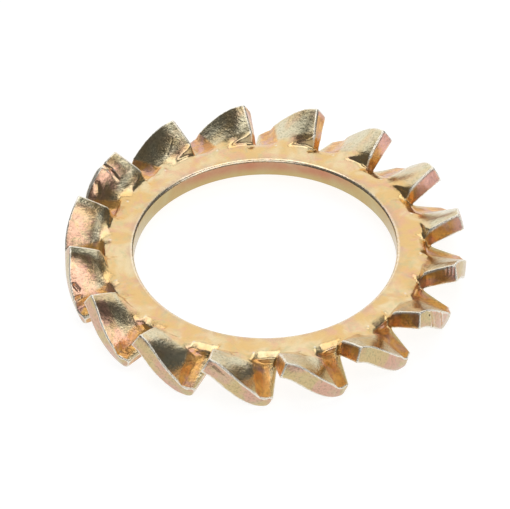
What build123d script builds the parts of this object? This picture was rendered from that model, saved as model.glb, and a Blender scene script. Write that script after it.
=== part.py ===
from build123d import *
import math
import os

# External toothed lock washer for an M12 bolt: a flat ring with sixteen teeth
# around it, every tooth twisted about its own radial line so that one side
# stands above the ring and the other side hangs below it.
# Millimetres. Z is the bore axis, z = 0 is the middle of the ring's thickness
# and the X axis runs along the twist line of one tooth.

# ring
BORE_D = 13.0              # hole for the bolt
THICKNESS = 1.0            # sheet thickness
RING_D = 16.1              # the slits between the teeth end on this circle
RIM_WIDTH = 0.16           # lower rim of the bore, drawn over by the punch:
RIM_DROP = 0.1             # an arc this wide and this deep
ROLL_WIDTH = 0.5           # outer edges of the ring, drawn over in the same way
ROLL_DROP = 0.14

# teeth
TOOTH_COUNT = 16
OUTER_D = 19.9             # over the twisted teeth
BARREL_R = 3.3             # the outer edges draw in above and below the middle
BARREL_HALF = 2.5          # half the height of that barrel, clear of the teeth
SKEW = 0.3                 # the twist line passes the bore axis at this distance

# a tooth seen from outside is a flat S: raised wing, steep web, lowered wing
WEB_WIDTH = 1.9            # the web, the rest of the width is the two wings
ROOT_LIFT = 0.05           # height of the twist line at the root of the tooth
ROOT_WEB_SLOPE = 19.0      # degrees
ROOT_WING_SLOPE = 8.0      # degrees
EDGE_LIFT = 0.18           # and the same at the outer edge
EDGE_WEB_SLOPE = 43.0      # degrees
EDGE_WING_SLOPE = 27.5     # degrees

# the press leaves the sheet thinner, and rounds the lowest corner
WEB_PRESSED = 0.08         # off the web
RAISED_PRESSED = 0.1       # off the raised side
LOWERED_PRESSED = 0.24     # off the lowered side
CORNER_WIDTH = 0.32        # lower corner of the lowered side, drawn over in an arc
CORNER_RISE = 0.2

# coined faces on top of the lowered side, with a crease between them
CREASE_AT = 0.88           # share of the half web
ROOT_COIN_START = 0.3      # share of the half web, where the inner face begins
ROOT_COIN_DEPTH = 0.08     # depth of the crease
EDGE_COIN_START = 0.72     # share of the half web, at the outer edge
EDGE_COIN_DEPTH = 0.16

# stations along the twist line
BEND_BACK = 0.55           # the bend into the tooth begins this far inside RING_D
ROOT_OUT = 0.05            # and ends this far outside it, at the root
EDGE_OUT = 0.05            # the slopes at the edge hold this far outside OUTER_D
TRIM = 0.6                 # length of blade beyond that, trimmed off
BURIED = 0.04              # the bend starts this far inside the ring's faces

# derived
BORE_R = BORE_D / 2
RING_R = RING_D / 2
OUTER_R = OUTER_D / 2
HALF = THICKNESS / 2
TOOTH_WIDTH = math.pi * RING_D / TOOTH_COUNT   # slit, not notched: no gap in the flat
BEND_START = RING_R - BEND_BACK
TOOTH_ROOT = RING_R + ROOT_OUT
TOOTH_EDGE = OUTER_R + EDGE_OUT
BLADE_END = TOOTH_EDGE + TRIM


def shifted(point, slope, distance):
    """A point moved square to a line that falls with the given slope."""
    a = math.radians(slope)
    return (point[0] + distance * math.sin(a), point[1] + distance * math.cos(a))


def blend(a, b, share):
    """The point at a given share of the way from a to b."""
    return tuple(p + (q - p) * share for p, q in zip(a, b))


def outline(lift, web, wing, coin_start, coin_depth):
    """Corner points across a tooth: the top line, then the bottom line back."""
    bend = WEB_WIDTH / 2
    tip = TOOTH_WIDTH / 2
    bend_rise = bend * math.tan(math.radians(web))
    tip_rise = bend_rise + (tip - bend) * math.tan(math.radians(wing))
    turn = (web + wing) / 2
    middle_line = [
        (-tip, tip_rise, wing, THICKNESS - RAISED_PRESSED),
        (-bend, bend_rise, turn, THICKNESS - WEB_PRESSED),
        (0, 0, web, THICKNESS - WEB_PRESSED),
        (bend, -bend_rise, turn, THICKNESS - WEB_PRESSED),
        (tip, -tip_rise, wing, THICKNESS - LOWERED_PRESSED),
    ]
    top = []
    bottom = []
    for y, z, slope, thickness in middle_line:
        point = (SKEW + y, lift + z)
        top.append(shifted(point, slope, thickness / 2))
        bottom.append(shifted(point, slope, -thickness / 2))
    face_start = blend(top[2], top[3], coin_start)
    crease_y, crease_z = blend(top[2], top[3], CREASE_AT)
    crease = (crease_y, crease_z - coin_depth)
    return top[:3] + [face_start, crease, top[4]], bottom[::-1]


def root_outline():
    return outline(
        ROOT_LIFT, ROOT_WEB_SLOPE, ROOT_WING_SLOPE, ROOT_COIN_START, ROOT_COIN_DEPTH
    )


def edge_outline():
    return outline(
        EDGE_LIFT, EDGE_WEB_SLOPE, EDGE_WING_SLOPE, EDGE_COIN_START, EDGE_COIN_DEPTH
    )


def flat_outline():
    """The same points where the bend leaves the flat ring."""
    top, bottom = root_outline()
    level = HALF - BURIED
    return [(y, level) for y, z in top], [(y, -level) for y, z in bottom]


def far_outline():
    """The same points at the end of the untrimmed blade, on straight lines."""
    share = (BLADE_END - TOOTH_ROOT) / (TOOTH_EDGE - TOOTH_ROOT)
    lines = zip(root_outline(), edge_outline())
    return [[blend(a, b, share) for a, b in zip(root, edge)] for root, edge in lines]


def section(x, points):
    """The cross-section of a tooth as a face square to the twist line."""
    plane = Plane(origin=(x, 0, 0), x_dir=(0, 1, 0), z_dir=(1, 0, 0))
    top = [plane.from_local_coords(p) for p in points[0]]
    bottom = [plane.from_local_coords(p) for p in points[1]]
    down = (bottom[0] - top[-1]).normalized()
    along = (bottom[1] - bottom[0]).normalized()
    round_start = bottom[0] - down * CORNER_RISE
    round_end = bottom[0] + along * CORNER_WIDTH
    edges = [
        Edge.make_spline(top[:4]),
        Edge.make_line(top[3], top[4]),
        Edge.make_line(top[4], top[5]),
        Edge.make_line(top[5], round_start),
        Edge.make_tangent_arc(round_end, -along, round_start),
        Edge.make_spline([round_end] + bottom[1:]),
        Edge.make_line(bottom[-1], top[0]),
    ]
    return Face(Wire(edges))


def barrel():
    """The body whose bulging side forms the outer edges of the teeth."""
    drop = BARREL_R - math.sqrt(BARREL_R ** 2 - BARREL_HALF ** 2)
    high = (OUTER_R - drop, EDGE_LIFT + BARREL_HALF)
    low = (OUTER_R - drop, EDGE_LIFT - BARREL_HALF)
    side = ThreePointArc(low, (OUTER_R, EDGE_LIFT), high)
    frame = Polyline(high, (0, high[1]), (0, low[1]), low)
    return Rot(0, 0, 180) * revolve(Plane.XZ * make_face([side, frame]), Axis.Z)


def tooth():
    """One tooth: the bend out of the ring and the twisted blade, trimmed outside."""
    root = section(TOOTH_ROOT, root_outline())
    bend = loft([section(BEND_START, flat_outline()), root], ruled=True)
    blade = loft([root, section(BLADE_END, far_outline())], ruled=True)
    return bend + blade & barrel()


def ring():
    """The flat ring with its drawn-over edges. The upper rim of the bore is sharp."""
    rim_start = BORE_R + RIM_WIDTH
    rim_end = HALF - RIM_DROP
    roll_start = RING_R - ROLL_WIDTH
    roll_end = HALF - ROLL_DROP
    profile = [
        TangentArc((rim_start, -HALF), (BORE_R, -rim_end), tangent=(-1, 0)),
        Line((rim_start, -HALF), (roll_start, -HALF)),
        TangentArc((roll_start, HALF), (RING_R, roll_end), tangent=(1, 0)),
        Line((RING_R, roll_end), (RING_R, -roll_end)),
        TangentArc((roll_start, -HALF), (RING_R, -roll_end), tangent=(1, 0)),
        Polyline((roll_start, HALF), (BORE_R, HALF), (BORE_R, -rim_end)),
    ]
    return revolve(Plane.XZ * make_face(profile), Axis.Z)


def lock_washer():
    """The whole washer, one solid."""
    return ring() + PolarLocations(0, TOOTH_COUNT) * tooth()


if __name__ == "__main__":
    os.makedirs("parts", exist_ok=True)
    export_step(lock_washer(), "parts/lock_washer.step")
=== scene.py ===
"""Toothed lock washer: a stamped and plated ring with sixteen twisted teeth."""
import math

import bpy
import numpy as np
from mathutils import Matrix, Vector
from mathutils.bvhtree import BVHTree


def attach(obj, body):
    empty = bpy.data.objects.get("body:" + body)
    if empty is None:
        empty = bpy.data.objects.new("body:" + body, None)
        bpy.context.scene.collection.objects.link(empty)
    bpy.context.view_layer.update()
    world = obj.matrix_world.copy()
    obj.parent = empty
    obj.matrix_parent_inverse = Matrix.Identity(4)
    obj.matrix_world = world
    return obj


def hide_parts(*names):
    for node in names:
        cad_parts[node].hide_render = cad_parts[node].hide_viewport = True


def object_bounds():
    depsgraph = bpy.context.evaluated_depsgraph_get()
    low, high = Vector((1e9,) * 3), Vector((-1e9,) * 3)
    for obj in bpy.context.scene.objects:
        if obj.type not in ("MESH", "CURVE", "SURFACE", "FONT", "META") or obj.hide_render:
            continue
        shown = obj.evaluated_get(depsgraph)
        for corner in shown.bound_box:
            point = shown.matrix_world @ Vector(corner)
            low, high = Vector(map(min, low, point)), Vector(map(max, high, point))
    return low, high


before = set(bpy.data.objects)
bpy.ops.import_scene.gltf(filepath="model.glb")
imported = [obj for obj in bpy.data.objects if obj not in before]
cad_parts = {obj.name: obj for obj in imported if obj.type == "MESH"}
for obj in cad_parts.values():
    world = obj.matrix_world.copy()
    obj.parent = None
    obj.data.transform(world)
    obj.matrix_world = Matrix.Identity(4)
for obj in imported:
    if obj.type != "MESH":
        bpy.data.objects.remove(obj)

cad_low, cad_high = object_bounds()
MM = 0.001

# ring, in millimetres
BORE_R = 6.5
RING_R = 8.05
HALF = 0.5
UNDER_RIM = (0.16, 0.1)   # the lower rim of the bore is drawn over: width and depth
CORE_R = 7.15             # the ring proper; the roots of the teeth make the rest
UPPER_RIM = ((0.08, 19), (0.04, 30), (0.07, 40), (0.05, 65))   # its narrow faces: width, slope
RIM_REACH = 6.9           # the bore and its rims lie inside this
RIM_STEP = 0.01
SKIN = 0.004              # the roots of the teeth lie this far under the ring's faces
RING_STEPS = 720

# teeth
TEETH = 16
OUTER_R = 9.95
BARREL_R = 3.3
SKEW = 0.3
TOOTH_ROOT, TOOTH_EDGE = 8.1, 10.0
BEND_ACROSS = (-1.28, -0.8, -0.5, -0.2, 0.0, 0.25, 0.5, 1.0, 1.5, 1.88)
BEND_START = (7.64, 7.66, 7.68, 7.68, 7.64, 7.58, 7.52, 7.46, 7.38, 7.26)
BEND_END = 8.25           # by here the blade has its own shape everywhere
BEND_RISE = (0.35, 0.17, 1.8)           # slope of the raised side, for how far, and then
BEND_FALL = 0.36          # slope of the lowered side
COIN_ACROSS = (0.25, 0.5, 0.7, 1.0, 1.5, 1.88)
COIN_BEGIN = (7.84, 7.96, 8.0, 7.9, 7.77, 7.69)
COIN_STEP = 0.1           # the coined faces are let in within this
TWIST = 0.85              # how early the twist comes on: 1 is evenly
WEB_HALF = 0.95
TIP_HALF = math.pi * RING_R / TEETH
PRESSED = (0.9, 0.92, 0.92, 0.92, 0.76)
CREASE_AT = 0.88
ROOT = dict(lift=0.05, web=19, wing=12, coin_start=0.3, coin_depth=0.11)
EDGE = dict(lift=0.18, web=43, wing=27.5, coin_start=0.72, coin_depth=0.16)
CORNER = (0.32, 0.2)      # the lowest corner is drawn over
LOWERED_TOP = 0.11        # rounding of the lowered edge
SHARP = 0.03              # rounding of the other edges
BURR = ((0.08, 0.09), (0.05, 0.11))   # flat along the raised edge: on top and wall, root and tip
BURR_FLAT = 0.7           # how flat it is, from 0, a round, to 1
TIP_DRAW = (1.5, 1.9, 0.12)           # the lowered end of the outer edge is drawn in
WALL_POINTS = 8
SLOPE_STEPS, BEND_STEPS, BLADE_STEPS = 6, 26, 16
INNER_END = 6.95
SLIT_SIDE = -0.8         # beyond this the raised corner slopes down to the next tooth
SLIT_BEGIN = (7.2, 7.4)
SLIT_SLOPE = 0.35
VOXEL = 0.045
FACES = 190_000
SMOOTH_ALL, SMOOTH_ROOT, SMOOTH_SLIT = 2, 4, 26      # rounds
ROOT_BAND = (6.95, 7.2, 8.0, 8.25)                   # radii: comes on, then fades out
SLIT_BAND, SLIT_HEIGHTS = (6.95, 7.1, 7.45, 7.65), (0, 0.3)

# dents, cracks and scratches of single teeth: both ends (along, across, up), radius, depth
MARKS = {
    6: [((8.78, -0.47, 1.04), (8.39, 0.10, 0.66), 0.03, 0.03)],
    7: [((9.75, -0.25, 1.25), (9.30, -0.22, 1.12), 0.06, 0.06),
        ((9.30, -0.22, 1.12), (8.80, -0.10, 0.85), 0.06, 0.06),
        ((9.87, 0.10, 0.85), (9.87, 0.90, 0.20), 0.30, -0.10),
        ((9.60, 0.50, 0.55), (9.40, 0.75, 0.30), 0.08, 0.05)],
    9: [((9.70, 0.64, 0.47), (9.55, 0.80, 0.33), 0.07, 0.06),
        ((9.50, 1.09, 0.06), (9.73, 1.15, 0.01), 0.06, 0.05)],
    10: [((9.68, 1.42, -0.31), (9.42, 1.60, -0.40), 0.07, 0.05)],
    12: [((9.70, -0.80, 1.35), (9.80, -0.20, 0.90), 0.06, 0.04)],
    15: [((9.85, -0.45, 1.20), (9.93, -0.50, 0.40), 0.05, 0.07),
         ((9.60, -0.75, 1.35), (9.75, -0.60, 1.15), 0.06, 0.06),
         ((9.93, 0.25, 0.65), (9.93, 0.35, -0.15), 0.05, 0.08)],
    0: [((9.20, -1.15, 1.45), (9.20, -1.32, 1.10), 0.035, 0.04),
        ((9.38, -1.15, 1.50), (9.38, -1.32, 1.15), 0.035, 0.05),
        ((9.56, -1.10, 1.55), (9.56, -1.32, 1.15), 0.035, 0.04)],
}
# teeth that stand a little off their place: degrees turned, and how far their low end is drawn in
OFF_PLACE = {0: (0.0, 0.06), 15: (-0.4, 0.1), 14: (-0.45, 0.08), 13: (-0.2, 0.03)}

# where the colours lie: single teeth get a painted pink reflection on top, or a painted pink
# highlight on the raised wall, from here outwards
PINK_REFLECTION_FROM = {7: 8.6, 8: 8.6, 9: 8.6, 10: 9.1}
PINK_REFLECTION_ACROSS = (-0.7, 1.2)
PINK_HIGHLIGHT_FROM = {0: 9.1, 1: 9.0, 2: 8.1, 3: 8.6}
PINK_HIGHLIGHT_FADE = 0.5
BLADE_FROM = 8.25
BORE_REACH = 0.03         # beyond the bore's radius, as the next two
LIP_REACH, LIP_DEPTH = (0.02, 0.16), 0.14
RIM_REDDENED = 0.28
BLUSH_ANGLE = 100         # the bore is reddest here, and near its top
BLUSH_SIDES, BLUSH_HEIGHTS = (0.6, 0.95), (-0.35, 0.3)
MASK_BLUR = dict(tooth=8, rim=10, web=14)
BULGE_BLUR = 4

ZONES = dict(ring=0, bore=1, top=2, under=3, lowered_wall=4, raised_wall=5, strip=6)


def corners(lift, web, wing, coin_start, coin_depth):
    """Corner points across a tooth: six along the top and five along the bottom."""
    rise = WEB_HALF * math.tan(math.radians(web))
    tip_rise = rise + (TIP_HALF - WEB_HALF) * math.tan(math.radians(wing))
    turn = (web + wing) / 2
    line = [(-TIP_HALF, tip_rise, wing), (-WEB_HALF, rise, turn), (0, 0, web),
            (WEB_HALF, -rise, turn), (TIP_HALF, -tip_rise, wing)]
    top, bottom = [], []
    for (y, z, slope), thickness in zip(line, PRESSED):
        a = math.radians(slope)
        square = np.array((math.sin(a), math.cos(a))) * thickness / 2
        middle = np.array((SKEW + y, lift + z))
        top.append(middle + square)
        bottom.append(middle - square)
    start = top[2] + (top[3] - top[2]) * coin_start
    crease = top[2] + (top[3] - top[2]) * CREASE_AT - np.array((0, coin_depth))
    return np.array(top[:3] + [start, crease, top[4]]), np.array(bottom[::-1])


def arc(start, corner, end, steps, flat=0.0):
    """Points of a quarter curve from start to end, bulging to the corner or flattened."""
    turn = np.linspace(0, math.pi / 2, steps)[:, None]
    bulged = corner + (start - corner) * (1 - np.sin(turn)) + (end - corner) * (1 - np.cos(turn))
    return bulged + (start + (end - start) * turn / (math.pi / 2) - bulged) * flat


def towards(a, b, distance):
    """The point at that distance from a on the way to b."""
    return a + (b - a) * (distance / np.linalg.norm(b - a))


def through(points, steps):
    """A smooth curve through the points, with the given number of points in each span."""
    out = []
    ends = np.vstack([2 * points[0] - points[1], points, 2 * points[-1] - points[-2]])
    for i, n in enumerate(steps):
        p0, p1, p2, p3 = ends[i:i + 4]
        t = (np.arange(n) / n)[:, None]
        out.append(0.5 * (2 * p1 + (p2 - p0) * t + (2 * p0 - 5 * p1 + 4 * p2 - p3) * t ** 2
                          + (3 * p1 - p0 - 3 * p2 + p3) * t ** 3))
    return np.vstack(out + [points[-1:]])


def between(a, b, n):
    """n points inside the straight run from a to b."""
    return a + (b - a) * np.linspace(0, 1, n + 2)[1:-1, None]


def sides(top, bottom, dull):
    """The outline of a section as four runs: top, lowered wall, bottom, raised wall.

    All start at the raised or upper end; top and bottom have equal numbers of points."""
    raised_top, raised_low = top[0], bottom[-1]
    lowered_top, lowered_low = top[-1], bottom[0]
    a_top = arc(towards(raised_top, raised_low, dull[1]), raised_top,
                towards(raised_top, top[1], dull[0]), 5, BURR_FLAT)
    c_top = arc(towards(lowered_top, top[4], LOWERED_TOP), lowered_top,
                towards(lowered_top, lowered_low, LOWERED_TOP), 5)
    c_low = arc(towards(lowered_low, bottom[1], CORNER[0]), lowered_low,
                towards(lowered_low, lowered_top, CORNER[1]), 9)
    a_low = arc(towards(raised_low, bottom[-2], SHARP), raised_low,
                towards(raised_low, raised_top, SHARP), 5)
    crease = np.array([towards(top[4], top[3], 0.06), top[4] + np.array((0, 0.012)),
                       towards(top[4], top[5], 0.06)])
    upper = through(np.vstack([a_top[-1], top[1], top[2], top[3]]), (5, 5, 4))
    run_top = np.vstack([a_top[2:-1], upper, between(top[3], crease[0], 3), crease,
                         between(crease[2], c_top[0], 3), c_top[:3]])
    under = through(np.vstack([a_low[0], bottom[3], bottom[2], bottom[1], c_low[0]]), (5, 5, 5, 4))
    run_bottom = np.vstack([a_low[:3][::-1][:-1], under, c_low[1:5]])
    missing = len(run_top) - len(run_bottom)
    run_bottom = np.vstack([run_bottom[:2], between(run_bottom[1], run_bottom[2], missing),
                            run_bottom[2:]])
    wall_lowered = np.vstack([c_top[2:], between(c_top[-1], c_low[-1], WALL_POINTS - 4),
                              c_low[4:][::-1]])
    wall_raised = np.vstack([a_top[:3][::-1], between(a_top[0], a_low[-1], WALL_POINTS - 2),
                             a_low[2:][::-1]])
    return run_top, wall_lowered, run_bottom, wall_raised


def patch(run_top, run_bottom, wall_raised, wall_lowered):
    """A grid over the section between its four runs."""
    n, m = len(run_top), len(wall_raised)
    s = np.linspace(0, 1, n)[None, :, None]
    t = np.linspace(0, 1, m)[:, None, None]
    across = (1 - t) * run_top[None] + t * run_bottom[None]
    down = (1 - s) * wall_raised[:, None] + s * wall_lowered[:, None]
    flat = ((1 - s) * (1 - t) * run_top[0] + s * (1 - t) * run_top[-1]
            + (1 - s) * t * run_bottom[0] + s * t * run_bottom[-1])
    return across + down - flat


def section_grid(values, dull):
    """The section of a tooth as a grid of points (down, across, 2)."""
    run_top, wall_lowered, run_bottom, wall_raised = sides(*corners(**values), dull)
    return patch(run_top, run_bottom, wall_raised, wall_lowered)


def flat_grid(root):
    """The same grid where the bend leaves the flat ring."""
    down = np.linspace(1, -1, root.shape[0])[:, None] * (HALF - SKIN)
    flat = root.copy()
    flat[..., 1] = down
    return flat


def sloped(level, x):
    """The flat section with its raised corner sloping down to the end of the slit."""
    down = np.clip(SLIT_SIDE - level[..., 0], 0, 1) * SLIT_SLOPE * smooth(*SLIT_BEGIN, x)
    out = level.copy()
    out[..., 1] -= down * (level[..., 1] > 0)
    return out


def outer_reach(root, edge, extra):
    """Where each line of the blade meets the barrel that forms the outer edges."""
    x = np.full(root.shape[:2], OUTER_R)
    for _ in range(30):
        share = (((x - TOOTH_ROOT) / (TOOTH_EDGE - TOOTH_ROOT)) ** TWIST)[..., None]
        y, z = np.moveaxis(root + (edge - root) * share, -1, 0)
        r = OUTER_R - BARREL_R + np.sqrt(np.maximum(BARREL_R ** 2 - (z - EDGE["lift"]) ** 2, 0.01))
        x = 0.5 * x + 0.5 * np.sqrt(r ** 2 - y ** 2)
    low, high, drawn = TIP_DRAW
    return x - (drawn + extra) * smooth(low, high, y) ** 2


def smooth(low, high, value):
    """0 below low, 1 above high, and a smooth step between them."""
    t = np.clip((value - low) / (high - low), 0, 1)
    return t * t * (3 - 2 * t)


def tooth_block(number):
    """Points of one tooth as a block (station, down, across, 3), not yet turned to its place."""
    root = section_grid(ROOT, BURR[0])
    plain = section_grid(dict(ROOT, coin_depth=0.0), BURR[0])
    edge = section_grid(EDGE, BURR[1])
    level = flat_grid(root)
    span = TOOTH_EDGE - TOOTH_ROOT
    start = np.interp(root[..., 0], BEND_ACROSS, BEND_START)
    coin = np.interp(root[..., 0], COIN_ACROSS, COIN_BEGIN)

    def blade(x):
        """The section at each grid point's own station."""
        uncoined = 1 - smooth(0, 1, (x - coin) / COIN_STEP)
        share = (x - TOOTH_ROOT) / span
        share = np.sign(share) * np.abs(share) ** TWIST
        return root + (edge - root) * share[..., None] + (plain - root) * uncoined[..., None]

    def bent(x):
        """The bend: it rises in two slopes and falls in one, until it meets the blade."""
        flat = sloped(level, x)
        slope, length, then = BEND_RISE
        run = x - start
        rise = slope * np.minimum(run, length) + then * np.maximum(run - length, 0)
        gap = blade(x)[..., 1] - flat[..., 1]
        lift = np.clip(gap, -BEND_FALL * run, rise)
        lift += (gap - lift) * smooth(0, 1, (x - coin) / COIN_STEP) * (gap < 0)
        return np.dstack([flat[..., 0], flat[..., 1] + lift])

    stations = [np.dstack([np.full(start.shape, INNER_END), level])]
    for t in np.arange(SLOPE_STEPS) / SLOPE_STEPS:
        x = INNER_END + (start - INNER_END) * (1 + t) / 2
        stations.append(np.dstack([x, sloped(level, x)]))
    for t in np.arange(BEND_STEPS) / BEND_STEPS:
        x = start + (BEND_END - start) * t
        stations.append(np.dstack([x, bent(x) + (blade(x) - bent(x)) * smooth(0.85, 1, t)]))
    reach = outer_reach(root, edge, OFF_PLACE.get(number, (0, 0))[1])
    for t in np.arange(BLADE_STEPS + 1) / BLADE_STEPS:
        x = BEND_END + (reach - BEND_END) * t
        stations.append(np.dstack([x, blade(x)]))
    return np.array(stations)


class Shell:
    """Points, faces and the zone of every face."""

    def __init__(self):
        self.points, self.faces, self.zones = [], [], []
        self.count = 0

    def grid(self, points, zone, flip=False):
        rows, columns = points.shape[:2]
        index = np.arange(rows * columns).reshape(rows, columns) + self.count
        quads = np.stack([index[:-1, :-1], index[:-1, 1:], index[1:, 1:], index[1:, :-1]], -1)
        quads = quads.reshape(-1, 4)
        if flip:
            quads = quads[:, ::-1]
        self.points.append(points.reshape(-1, 3))
        self.faces.append(quads)
        self.zones.append(np.full(len(quads), ZONES[zone]))
        self.count += rows * columns

    def arrays(self):
        return np.vstack(self.points), np.vstack(self.faces), np.concatenate(self.zones)


def turned(points, angle):
    """Points turned about the bore axis."""
    c, s = math.cos(angle), math.sin(angle)
    return points @ np.array(((c, s, 0), (-s, c, 0), (0, 0, 1)))


def add_tooth(shell, number):
    off = math.radians(OFF_PLACE.get(number, (0, 0))[0])
    block = turned(tooth_block(number), 2 * math.pi * number / TEETH + off)
    shell.grid(block[:, 0], "top", flip=True)
    shell.grid(block[:, -1], "under")
    shell.grid(block[:, :, 0], "raised_wall")
    shell.grid(block[:, :, -1], "lowered_wall", flip=True)
    shell.grid(block[-1], "strip", flip=True)
    shell.grid(block[0], "ring")


def bore_profile():
    """The bore and its two rims as points (radius, height), from above to below."""
    rim = [np.zeros(2)]
    for width, slope in UPPER_RIM:
        a = math.radians(slope)
        rim.append(rim[-1] - width * np.array((math.cos(a), math.sin(a))))
    rim = np.array(rim) + np.array((BORE_R - rim[-1][0], HALF))
    inner_low = np.array((BORE_R, -HALF))
    low_rim = arc(inner_low + np.array((0, UNDER_RIM[1])), inner_low,
                  inner_low + np.array((UNDER_RIM[0], 0)), 9)
    return np.vstack([rim, between(rim[-1], low_rim[0], 12), low_rim])


def add_ring(shell):
    """The flat ring, one closed profile turned about the bore axis."""
    bore = bore_profile()
    outer_top = np.array((CORE_R, HALF))
    outer_low = np.array((CORE_R, -HALF))
    rest = np.vstack([bore[-1], between(bore[-1], outer_low, 4), outer_low, outer_top,
                      between(outer_top, bore[0], 4), bore[0]])
    turns = np.linspace(0, 2 * math.pi, RING_STEPS + 1)
    for profile, zone in ((bore, "bore"), (rest, "ring")):
        r, z = profile.T
        points = np.stack([np.outer(np.cos(turns), r), np.outer(np.sin(turns), r),
                           np.broadcast_to(z, (len(turns), len(z)))], -1)
        shell.grid(points, zone, flip=True)


def true_the_bore(points):
    """Sets the points round the bore back on its profile, which the remesh has blurred."""
    profile = bore_profile()
    line = np.vstack([(RIM_REACH, HALF), profile, (RIM_REACH, -HALF)])
    length = np.concatenate([[0], np.cumsum(np.linalg.norm(np.diff(line, axis=0), axis=1))])
    at = np.arange(0, length[-1], RIM_STEP)
    line = np.stack([np.interp(at, length, line[:, 0]), np.interp(at, length, line[:, 1])], -1)
    radius = np.hypot(points[:, 0], points[:, 1])
    near = np.flatnonzero(radius < RIM_REACH - RIM_STEP)
    place = np.stack([radius[near], points[near, 2]], -1)
    for part in np.array_split(np.arange(len(near)), 20):
        gap = ((place[part, None] - line[None]) ** 2).sum(-1)
        r, z = line[gap.argmin(1)].T
        chosen = near[part]
        points[chosen, :2] *= (r / radius[chosen])[:, None]
        points[chosen, 2] = z


def mesh_from(name, points, faces):
    mesh = bpy.data.meshes.new(name)
    mesh.from_pydata([], [], [])
    mesh.vertices.add(len(points))
    mesh.vertices.foreach_set("co", points.ravel())
    loops = faces.shape[1]
    mesh.loops.add(faces.size)
    mesh.loops.foreach_set("vertex_index", faces.ravel().astype(np.int32))
    mesh.polygons.add(len(faces))
    mesh.polygons.foreach_set("loop_start", np.arange(0, faces.size, loops, dtype=np.int32))
    mesh.update(calc_edges=True)
    mesh.validate()
    return mesh


def applied(mesh, *modifiers):
    """The mesh with modifiers applied, given as (type, settings)."""
    work = bpy.data.objects.new("work", mesh)
    bpy.context.scene.collection.objects.link(work)
    for kind, settings in modifiers:
        modifier = work.modifiers.new(kind, kind)
        for key, value in settings.items():
            setattr(modifier, key, value)
    depsgraph = bpy.context.evaluated_depsgraph_get()
    result = bpy.data.meshes.new_from_object(work.evaluated_get(depsgraph))
    bpy.data.objects.remove(work)
    return result


def points_of(mesh):
    out = np.empty(len(mesh.vertices) * 3)
    mesh.vertices.foreach_get("co", out)
    return out.reshape(-1, 3)


def set_points(mesh, points):
    mesh.vertices.foreach_set("co", points.ravel())
    mesh.update()


def place_in_tooth(points):
    """Distances along and across the nearest tooth's own radial line, and its number."""
    angle = np.arctan2(points[:, 1], points[:, 0])
    pitch = 2 * math.pi / TEETH
    radius = np.hypot(points[:, 0], points[:, 1])
    number = np.round(angle / pitch)
    local = angle - number * pitch
    return radius * np.cos(local), radius * np.sin(local), number.astype(int) % TEETH


def normals_of(mesh):
    out = np.empty(len(mesh.vertices) * 3)
    mesh.vertices.foreach_get("normal", out)
    return out.reshape(-1, 3)


def add_marks(points, normals):
    x, y, number = place_in_tooth(points)
    local = np.stack([x, y, points[:, 2]], -1)
    for tooth, marks in MARKS.items():
        for start, end, radius, depth in marks:
            start, run = np.array(start), np.subtract(end, start)
            share = np.clip((local - start) @ run / (run @ run), 0, 1)[:, None]
            gap = ((local - start - run * share) ** 2).sum(1) / radius ** 2
            push = depth * np.exp(-gap / 2) * (number == tooth)
            points -= normals * push[:, None]


def edges_of(mesh):
    out = np.empty(len(mesh.edges) * 2, dtype=np.int32)
    mesh.edges.foreach_get("vertices", out)
    return out.reshape(-1, 2)


def neighbour_mean(values, edges, degree):
    """The mean of each point's neighbours, for every column of values."""
    a, b = edges.T
    total = [np.bincount(a, column[b], len(values)) + np.bincount(b, column[a], len(values))
             for column in values.T]
    return np.stack(total, -1) / degree[:, None]


def relax(values, edges, degree, rounds, weight):
    """Draws every point towards its neighbours, by the weight of the point."""
    for _ in range(rounds):
        values = values + weight[:, None] * (neighbour_mean(values, edges, degree) - values)
    return values


def add_mask(mesh, name, values):
    attribute = mesh.attributes.new(name, "FLOAT", "POINT")
    attribute.data.foreach_set("value", values.astype(np.float32))


def smoothed(points, edges, degree):
    """The remeshed points without their steps: lightly all over, more at roots and slits."""
    radius = np.hypot(points[:, 0], points[:, 1])
    root = smooth(*ROOT_BAND[:2], radius) * (1 - smooth(*ROOT_BAND[2:], radius))
    points = relax(points, edges, degree, SMOOTH_ALL, np.full(len(points), 0.5))
    points = relax(points, edges, degree, SMOOTH_ROOT, 0.5 * root)
    slit = smooth(*SLIT_BAND[:2], radius) * (1 - smooth(*SLIT_BAND[2:], radius))
    slit *= smooth(*SLIT_HEIGHTS, points[:, 2])
    return relax(points, edges, degree, SMOOTH_SLIT, 0.5 * slit)


def masks_of(points, radius, zone):
    """Where each kind of surface lies, from 0 to 1, for the material."""
    height = points[:, 2]
    angle = np.arctan2(points[:, 1], points[:, 0])
    back = np.cos(angle - math.radians(BLUSH_ANGLE))
    in_lip = (radius > BORE_R + LIP_REACH[0]) & (radius < BORE_R + LIP_REACH[1])
    return dict(bore=(radius < BORE_R + BORE_REACH) & (height < HALF - 0.1),
                strip=zone == ZONES["strip"],
                wall=(zone == ZONES["lowered_wall"]) | (zone == ZONES["raised_wall"]),
                coined=coined_part(points, zone),
                tooth=radius > BLADE_FROM,
                rim=(radius < BORE_R + RIM_REDDENED) & (zone != ZONES["bore"]),
                lip=in_lip & (height > HALF - LIP_DEPTH),
                web=pink_reflection_part(points, zone),
                pink_highlight=pink_highlight_part(points, zone),
                rear=smooth(*BLUSH_SIDES, back) * smooth(*BLUSH_HEIGHTS, height))


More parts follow.
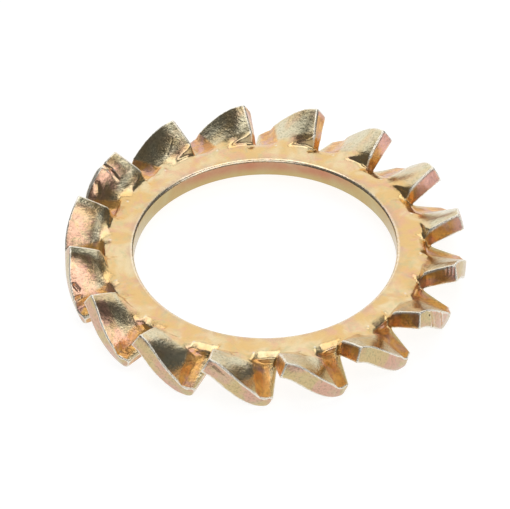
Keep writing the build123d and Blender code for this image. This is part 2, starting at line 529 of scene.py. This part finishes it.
def make_washer():
    shell = Shell()
    add_ring(shell)
    for number in range(TEETH):
        add_tooth(shell, number)
    shell_points, shell_faces, zones = shell.arrays()
    source = mesh_from("washer_source", shell_points, shell_faces)
    mesh = applied(source, ("REMESH", dict(mode="VOXEL", voxel_size=VOXEL, adaptivity=0.0)))
    points = points_of(mesh)
    edges = edges_of(mesh)
    degree = np.bincount(edges.ravel(), minlength=len(points)).astype(float)
    radius = np.hypot(points[:, 0], points[:, 1])
    points = smoothed(points, edges, degree)
    set_points(mesh, points)
    add_marks(points, normals_of(mesh))
    true_the_bore(points)
    set_points(mesh, points)

    tree = BVHTree.FromPolygons(shell_points.tolist(), shell_faces.tolist())
    zone = zones[[tree.find_nearest(p)[2] for p in points]]
    half = np.full(len(points), 0.5)
    for name, values in masks_of(points, radius, zone).items():
        blurred = relax(values.astype(float)[:, None], edges, degree, MASK_BLUR.get(name, 2), half)
        add_mask(mesh, name, blurred[:, 0])
    bulge = ((points - neighbour_mean(points, edges, degree)) * normals_of(mesh)).sum(1) / VOXEL
    bulge = relax(bulge[:, None], edges, degree, BULGE_BLUR, half)[:, 0]
    add_mask(mesh, "edge", bulge * (radius > BORE_R + BORE_REACH))

    share = FACES / (2 * len(mesh.polygons))
    mesh = applied(mesh, ("DECIMATE", dict(ratio=min(share, 1.0))))
    set_points(mesh, np.clip(points_of(mesh) * MM, np.array(cad_low), np.array(cad_high)))
    mesh.shade_smooth()
    washer = bpy.data.objects.new("washer", mesh)
    bpy.context.scene.collection.objects.link(washer)
    return washer


def starts_at(number, table):
    """Where a colour starts along each point's tooth: past its end if it has none."""
    return np.array([table.get(tooth, OUTER_R) for tooth in range(TEETH)])[number]


def pink_reflection_part(points, zone):
    """The steep middle of some blades, on top, where a pink reflection is painted."""
    x, y, number = place_in_tooth(points)
    low, high = PINK_REFLECTION_ACROSS
    return (zone == ZONES["top"]) & (x > starts_at(number, PINK_REFLECTION_FROM)) & (y > low) & (y < high)


def pink_highlight_part(points, zone):
    """The outer end of some raised walls, where a pink highlight is painted."""
    x, _, number = place_in_tooth(points)
    return (zone == ZONES["raised_wall"]) * smooth(0, PINK_HIGHLIGHT_FADE, x - starts_at(number, PINK_HIGHLIGHT_FROM))


def coined_part(points, zone):
    """The two coined faces on top of each lowered side."""
    x, y, _ = place_in_tooth(points)
    share = np.clip((x - TOOTH_ROOT) / (TOOTH_EDGE - TOOTH_ROOT), 0, 1)
    starts = [corners(**values)[0][3][0] for values in (ROOT, EDGE)]
    start = starts[0] + (starts[1] - starts[0]) * share
    return (zone == ZONES["top"]) & (y > start) & (x > np.interp(y, COIN_ACROSS, COIN_BEGIN))


# colours of the plating and of the light painted on it, linear
GOLD = (0.76, 0.51, 0.22, 1)
CREAM = (0.80, 0.64, 0.38, 1)
ROSE = (0.76, 0.44, 0.29, 1)
BLUSH = (0.64, 0.39, 0.29, 1)
MAUVE = (0.50, 0.36, 0.30, 1)
SAGE = (0.54, 0.52, 0.30, 1)
STRAW = (0.60, 0.46, 0.24, 1)
KHAKI = (0.52, 0.38, 0.17, 1)
ROSEWOOD = (0.50, 0.22, 0.13, 1)
AMBER = (0.94, 0.50, 0.13, 1)
RUST = (0.58, 0.22, 0.07, 1)
PINK = (0.96, 0.54, 0.47, 1)
LILAC = (0.74, 0.42, 0.38, 1)
OLIVE = (0.70, 0.66, 0.48, 1)
MOSS = (0.22, 0.20, 0.10, 1)
SOOT = (0.16, 0.13, 0.08, 1)
SALMON = (0.86, 0.50, 0.36, 1)
SILVER = (0.98, 0.93, 0.81, 1)


class Nodes:
    """Short calls for the nodes of one material."""

    def __init__(self, material):
        material.use_nodes = True
        self.nodes = material.node_tree.nodes
        self.links = material.node_tree.links
        self.shader = self.nodes["Principled BSDF"]
        self.place = self.nodes.new("ShaderNodeTexCoord").outputs["Object"]
        self.place = self.vector("SCALE", self.place, scale=1 / MM)

    def link(self, value, socket):
        if isinstance(value, bpy.types.NodeSocket):
            self.links.new(value, socket)
        else:
            socket.default_value = value

    def vector(self, operation, a, b=(0, 0, 0), scale=1.0):
        node = self.nodes.new("ShaderNodeVectorMath")
        node.operation = operation
        self.link(a, node.inputs[0])
        if operation == "SCALE":
            node.inputs["Scale"].default_value = scale
        else:
            self.link(b, node.inputs[1])
        return node.outputs[0]

    def math(self, operation, a, b=0.0):
        node = self.nodes.new("ShaderNodeMath")
        node.operation = operation
        self.link(a, node.inputs[0])
        self.link(b, node.inputs[1])
        return node.outputs[0]

    def noise(self, scale, detail=3.0, roughness=0.55, distortion=0.0, place=None):
        node = self.nodes.new("ShaderNodeTexNoise")
        self.links.new(place or self.place, node.inputs["Vector"])
        node.inputs["Scale"].default_value = scale
        node.inputs["Detail"].default_value = detail
        node.inputs["Roughness"].default_value = roughness
        node.inputs["Distortion"].default_value = distortion
        return node.outputs["Fac"]

    def step(self, value, low, high, to_low=0.0, to_high=1.0):
        node = self.nodes.new("ShaderNodeMapRange")
        node.interpolation_type = "SMOOTHSTEP"
        self.link(value, node.inputs["Value"])
        node.inputs["From Min"].default_value = low
        node.inputs["From Max"].default_value = high
        node.inputs["To Min"].default_value = to_low
        node.inputs["To Max"].default_value = to_high
        return node.outputs["Result"]

    def mix(self, share, a, b):
        node = self.nodes.new("ShaderNodeMix")
        node.data_type = "RGBA"
        self.link(share, node.inputs["Factor"])
        self.link(a, node.inputs["A"])
        self.link(b, node.inputs["B"])
        return node.outputs["Result"]

    def mask(self, name):
        node = self.nodes.new("ShaderNodeAttribute")
        node.attribute_name = name
        return node.outputs["Fac"]

    def bump(self, height, strength, distance, normal=None):
        node = self.nodes.new("ShaderNodeBump")
        node.inputs["Strength"].default_value = strength
        node.inputs["Distance"].default_value = distance
        self.links.new(height, node.inputs["Height"])
        if normal:
            self.links.new(normal, node.inputs["Normal"])
        return node.outputs["Normal"]


def yellow_zinc():
    """Bright zinc under a yellow chromate film, whose colour drifts with its thickness, with some
    highlights, reflections and shade painted in.
    """
    material = bpy.data.materials.new("yellow_zinc_plating")
    n = Nodes(material)
    film = n.noise(0.75, 2.5, 0.5, 0.6)
    blush = n.noise(1.1, 3.0, 0.55, 0.8, n.vector("ADD", n.place, (7.1, 3.4, 1.7)))
    green = n.noise(1.6, 3.5, 0.6, 0.5, n.vector("ADD", n.place, (2.3, 9.2, 4.1)))
    fine = n.noise(9.0, 4.0, 0.7)
    grain = n.noise(26.0, 3.0, 0.7)

    colour = n.mix(n.step(film, 0.38, 0.66), GOLD, CREAM)
    colour = n.mix(n.step(blush, 0.46, 0.70, 0, 0.7), colour, ROSE)
    colour = n.mix(n.step(green, 0.48, 0.74, 0, 0.5), colour, SAGE)
    rim = n.math("MULTIPLY", n.mask("rim"), n.step(blush, 0.35, 0.6, 0.15, 0.75))
    colour = n.mix(rim, colour, MAUVE)

    strip = n.mix(n.step(film, 0.38, 0.58), STRAW, BLUSH)
    strip = n.mix(n.step(green, 0.46, 0.7, 0, 0.4), strip, SAGE)
    colour = n.mix(n.mask("strip"), colour, strip)

    # the bore is coloured darker than the ring, a painted shade in the hole; it turns redder
    # towards BLUSH_ANGLE and near its top
    bore = n.mix(n.step(n.mask("rear"), 0, 0.8), KHAKI, ROSEWOOD)
    bore = n.mix(n.step(film, 0.3, 0.75, 0, 0.35), bore, SAGE)
    colour = n.mix(n.mask("bore"), colour, bore)

    cut = n.math("MAXIMUM", n.mask("wall"), n.mask("coined"))
    cut_colour = n.mix(n.step(green, 0.40, 0.66, 0, 0.8), AMBER, RUST)
    cut_colour = n.mix(n.step(blush, 0.48, 0.68, 0, 0.8), cut_colour, LILAC)
    colour = n.mix(n.math("MULTIPLY", cut, 0.9), colour, cut_colour)

    # a painted pink highlight on the outer end of some raised walls
    pink_highlight = n.math("MULTIPLY", n.mask("pink_highlight"), n.step(fine, 0.35, 0.55, 0.55, 1))
    colour = n.mix(pink_highlight, colour, PINK)

    # a painted pink reflection on the steep middle of some blades' tops
    web = n.math("MULTIPLY", n.mask("web"), n.step(blush, 0.38, 0.6, 0.25, 0.9))
    colour = n.mix(n.math("MULTIPLY", web, n.math("SUBTRACT", 1.0, cut)), colour, SALMON)

    others = n.math("MAXIMUM", cut, n.math("MAXIMUM", n.mask("strip"), n.mask("web")))
    # olive on the teeth's tops: partly the film's own tint, partly a painted tint of the dark
    # reflection on the raised wings
    olive_film_and_reflection = n.math("MULTIPLY", n.mask("tooth"), n.math("SUBTRACT", 1.0, others))
    colour = n.mix(n.math("MULTIPLY", olive_film_and_reflection, n.step(film, 0.3, 0.7, 0.35, 0.8)), colour, OLIVE)
    speck = n.step(grain, 0.61, 0.72, 0, 0.5)
    colour = n.mix(speck, colour, SOOT)
    # dark moss mottling on the teeth: partly the film's own mottling, partly a painted dark
    # reflection
    mottle = n.math("MULTIPLY", n.mask("tooth"), n.step(fine, 0.5, 0.62, 0, 0.4))
    colour = n.mix(mottle, colour, MOSS)
    # bright silver along the convex edges: partly bare metal on the burrs, partly a painted
    # highlight of their glint
    bare_edge_and_highlight = n.math("MULTIPLY", n.step(n.mask("edge"), 0.02, 0.065), n.step(fine, 0.35, 0.5, 0.5, 1))
    colour = n.mix(bare_edge_and_highlight, colour, SILVER)

    # silver on the bore's upper rim: partly bare metal, partly a painted highlight
    lip = n.math("MULTIPLY", n.mask("lip"), n.step(fine, 0.3, 0.6, 0.1, 0.55))
    colour = n.mix(lip, colour, SILVER)

    n.link(colour, n.shader.inputs["Base Color"])
    dull = n.math("MAXIMUM", n.math("MULTIPLY", bare_edge_and_highlight, 0.25), n.math("MULTIPLY", cut, 0.3))
    dull = n.math("MAXIMUM", dull, n.math("MULTIPLY", pink_highlight, 0.2))
    n.link(n.math("SUBTRACT", 1.0, dull), n.shader.inputs["Metallic"])
    rough = n.step(n.noise(5.0, 4.0, 0.6), 0.35, 0.65, 0.14, 0.24)
    rough = n.math("MAXIMUM", rough, n.math("MULTIPLY", bare_edge_and_highlight, 0.34))
    n.link(rough, n.shader.inputs["Roughness"])
    waves = n.bump(n.noise(2.5, 3.0, 0.6), 0.35, 0.035 * MM)
    hammered = n.step(n.mask("tooth"), 0, 1, 0.15, 1)
    hammered = n.math("MULTIPLY", hammered, n.step(n.mask("web"), 0, 1, 1, 0.45))
    beaten = n.math("MULTIPLY", n.noise(7.0, 3.0, 0.6), hammered)
    beaten = n.bump(beaten, 0.8, 0.019 * MM, waves)
    pits = n.bump(grain, 0.35, 0.008 * MM, beaten)
    n.link(pits, n.shader.inputs["Normal"])
    return material


# camera
CAMERA_AZIMUTH = -79.965
CAMERA_ELEVATION = 41.828
CAMERA_ROLL = 0.549
CAMERA_DISTANCE = 225.29 * MM
LENS = 322.16
SHIFT = (-0.01985, -0.01558)
TARGET = Vector((0, 0, 0.5 * MM))


def direction(azimuth, elevation):
    a, e = math.radians(azimuth), math.radians(elevation)
    return Vector((math.cos(a) * math.cos(e), math.sin(a) * math.cos(e), math.sin(e)))


def make_camera():
    data = bpy.data.cameras.new("camera")
    data.lens = LENS
    data.sensor_width = 36
    data.shift_x, data.shift_y = SHIFT
    data.clip_start = 0.01
    camera = bpy.data.objects.new("camera", data)
    back = direction(CAMERA_AZIMUTH, CAMERA_ELEVATION)
    turn = back.to_track_quat("Z", "Y").to_matrix().to_4x4()
    roll = Matrix.Rotation(math.radians(-CAMERA_ROLL), 4, "Z")
    camera.matrix_world = Matrix.Translation(TARGET + back * CAMERA_DISTANCE) @ turn @ roll
    bpy.context.scene.collection.objects.link(camera)
    bpy.context.scene.camera = camera


# light: softboxes by azimuth and elevation of their middle, in degrees from the right of the
# view (90 is away from the camera), distance, size in metres, and level (1 is white)
VIEW_TURN = 10.035
WORLD_LEVEL = 0.11
SOFTBOXES = {
    "back": (95, 30, 0.5, (0.9, 0.58), 1.0),
    "top": (95, 77, 0.5, (0.44, 0.23), 1.6),
    "front": (-72, 62, 0.5, (0.5, 0.21), 1.35),
    "side": (-21, 44, 0.5, (0.2, 0.17), 1.3),
    "right": (-28, 6, 0.5, (0.26, 0.16), 1.0),
    "low": (-80, 17, 0.5, (0.7, 0.22), 0.5),
}
FLOOR_GLOW = 0.86
FLOOR_GREY = 0.3


def make_world():
    world = bpy.data.worlds.new("studio")
    bpy.context.scene.world = world
    world.use_nodes = True
    background = world.node_tree.nodes["Background"]
    background.inputs["Color"].default_value = (WORLD_LEVEL, WORLD_LEVEL, WORLD_LEVEL, 1)


def softbox(name, azimuth, elevation, distance, size, level):
    light = bpy.data.lights.new(name, "AREA")
    light.shape = "RECTANGLE"
    light.size, light.size_y = size
    light.energy = level * math.pi * size[0] * size[1]
    lamp = bpy.data.objects.new(name, light)
    way = direction(azimuth + VIEW_TURN, elevation)
    lamp.location = way * distance
    lamp.rotation_euler = way.to_track_quat("Z", "Y").to_euler()
    bpy.context.scene.collection.objects.link(lamp)


def make_floor():
    """White paper: the camera and the metal see it glow, and it keeps a soft shadow."""
    mesh = bpy.data.meshes.new("floor")
    s, z = 1.5, cad_low[2]
    mesh.from_pydata([(-s, -s, z), (s, -s, z), (s, s, z), (-s, s, z)], [], [(0, 1, 2, 3)])
    floor = bpy.data.objects.new("floor", mesh)
    bpy.context.scene.collection.objects.link(floor)
    material = bpy.data.materials.new("white_paper")
    material.use_nodes = True
    nodes, links = material.node_tree.nodes, material.node_tree.links
    shader = nodes["Principled BSDF"]
    shader.inputs["Base Color"].default_value = (FLOOR_GREY, FLOOR_GREY, FLOOR_GREY, 1)
    shader.inputs["Roughness"].default_value = 0.9
    shader.inputs["Specular IOR Level"].default_value = 0.0
    shader.inputs["Emission Color"].default_value = (1, 1, 1, 1)
    path = nodes.new("ShaderNodeLightPath")
    seen = nodes.new("ShaderNodeMath")
    seen.operation = "MAXIMUM"
    links.new(path.outputs["Is Camera Ray"], seen.inputs[0])
    links.new(path.outputs["Is Glossy Ray"], seen.inputs[1])
    also = nodes.new("ShaderNodeMath")
    also.operation = "MAXIMUM"
    links.new(seen.outputs[0], also.inputs[0])
    links.new(path.outputs["Is Transmission Ray"], also.inputs[1])
    glow = nodes.new("ShaderNodeMath")
    glow.operation = "MULTIPLY"
    glow.inputs[1].default_value = FLOOR_GLOW
    links.new(also.outputs[0], glow.inputs[0])
    links.new(glow.outputs[0], shader.inputs["Emission Strength"])
    mesh.materials.append(material)


make_camera()
make_world()
for name, values in SOFTBOXES.items():
    softbox(name, *values)
make_floor()
washer = make_washer()
washer.data.materials.append(yellow_zinc())
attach(washer, "root")
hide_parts("lock_washer")

bpy.context.scene.view_settings.view_transform = "Standard"
